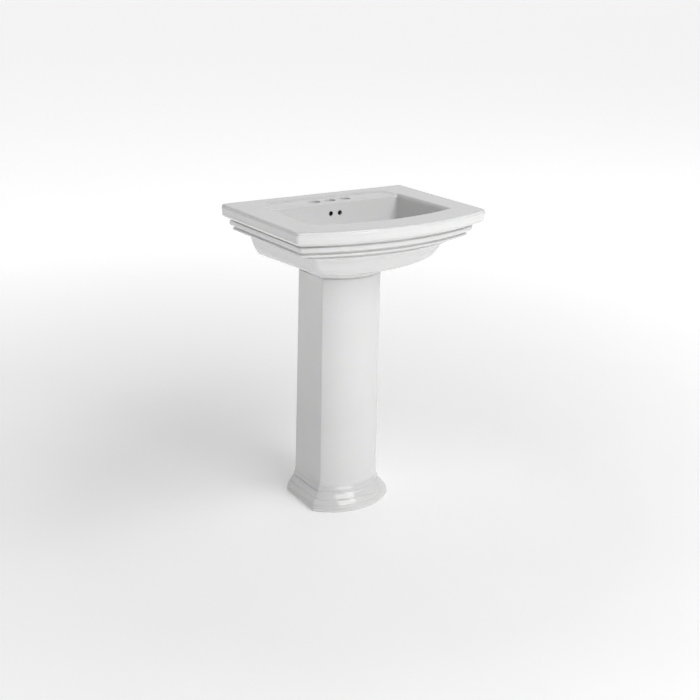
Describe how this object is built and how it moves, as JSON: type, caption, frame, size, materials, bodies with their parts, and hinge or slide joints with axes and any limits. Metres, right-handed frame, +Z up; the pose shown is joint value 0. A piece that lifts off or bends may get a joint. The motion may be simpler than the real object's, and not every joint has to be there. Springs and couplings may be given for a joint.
{
  "type": "pedestal sink",
  "caption": "Rectangular vitreous china basin with a bowed, moulded front on a hollow moulded pedestal, with its push-button waste, tubular trap and wall fixings.",
  "frame": {"origin": "centre of the bounding box on the floor; the wall face is the plane y = 0.216 m and the basin is centred on x = 0", "axes": "+Z up, the front of the basin faces -Y, X runs along the wall and is the direction of symmetry"},
  "size_m": [0.61, 0.508, 0.889],
  "materials": {
    "china": "glossy white glaze",
    "chrome": "polished",
    "black_rubber": "matt",
    "grey_rubber": "matt",
    "pale_seal": "matt",
    "white_plastic": "satin",
    "brass": "machined",
    "zinc_steel": "zinc plated",
    "spring_steel": "drawn wire"
  },
  "bodies": {
    "sink": {"basin": "china", "pedestal": "china", "pedestal_pads": "grey_rubber", "drain_body": "chrome", "flange_seal": "pale_seal", "drain_gasket": "black_rubber", "drain_washer": "white_plastic", "drain_nut": "brass", "stopper_guide": "white_plastic", "stopper_spring": "spring_steel", "tailpiece": "chrome", "tailpiece_seal": "black_rubber", "trap_inlet_nut": "chrome", "trap_inlet_washer": "black_rubber", "trap_bend": "chrome", "trap_outlet_nut": "chrome", "trap_outlet_washer": "black_rubber", "trap_arm": "chrome", "cleanout_plug": "chrome", "cleanout_washer": "black_rubber", "wall_escutcheon": "chrome", "wall_studs": "zinc_steel", "wall_rubber_washers": "grey_rubber", "wall_washers": "zinc_steel", "wall_nuts": "zinc_steel"},
    "stopper": {"stopper_cap": "chrome", "stopper_seal": "black_rubber", "stopper_stem": "zinc_steel"}
  },
  "joints": [
    {"name": "stopper_slide", "type": "slide", "parent": "sink", "child": "stopper", "axis": [0, 0, 1], "range_m": [0, 0.009], "deforming": ["stopper_spring"]}
  ]
}
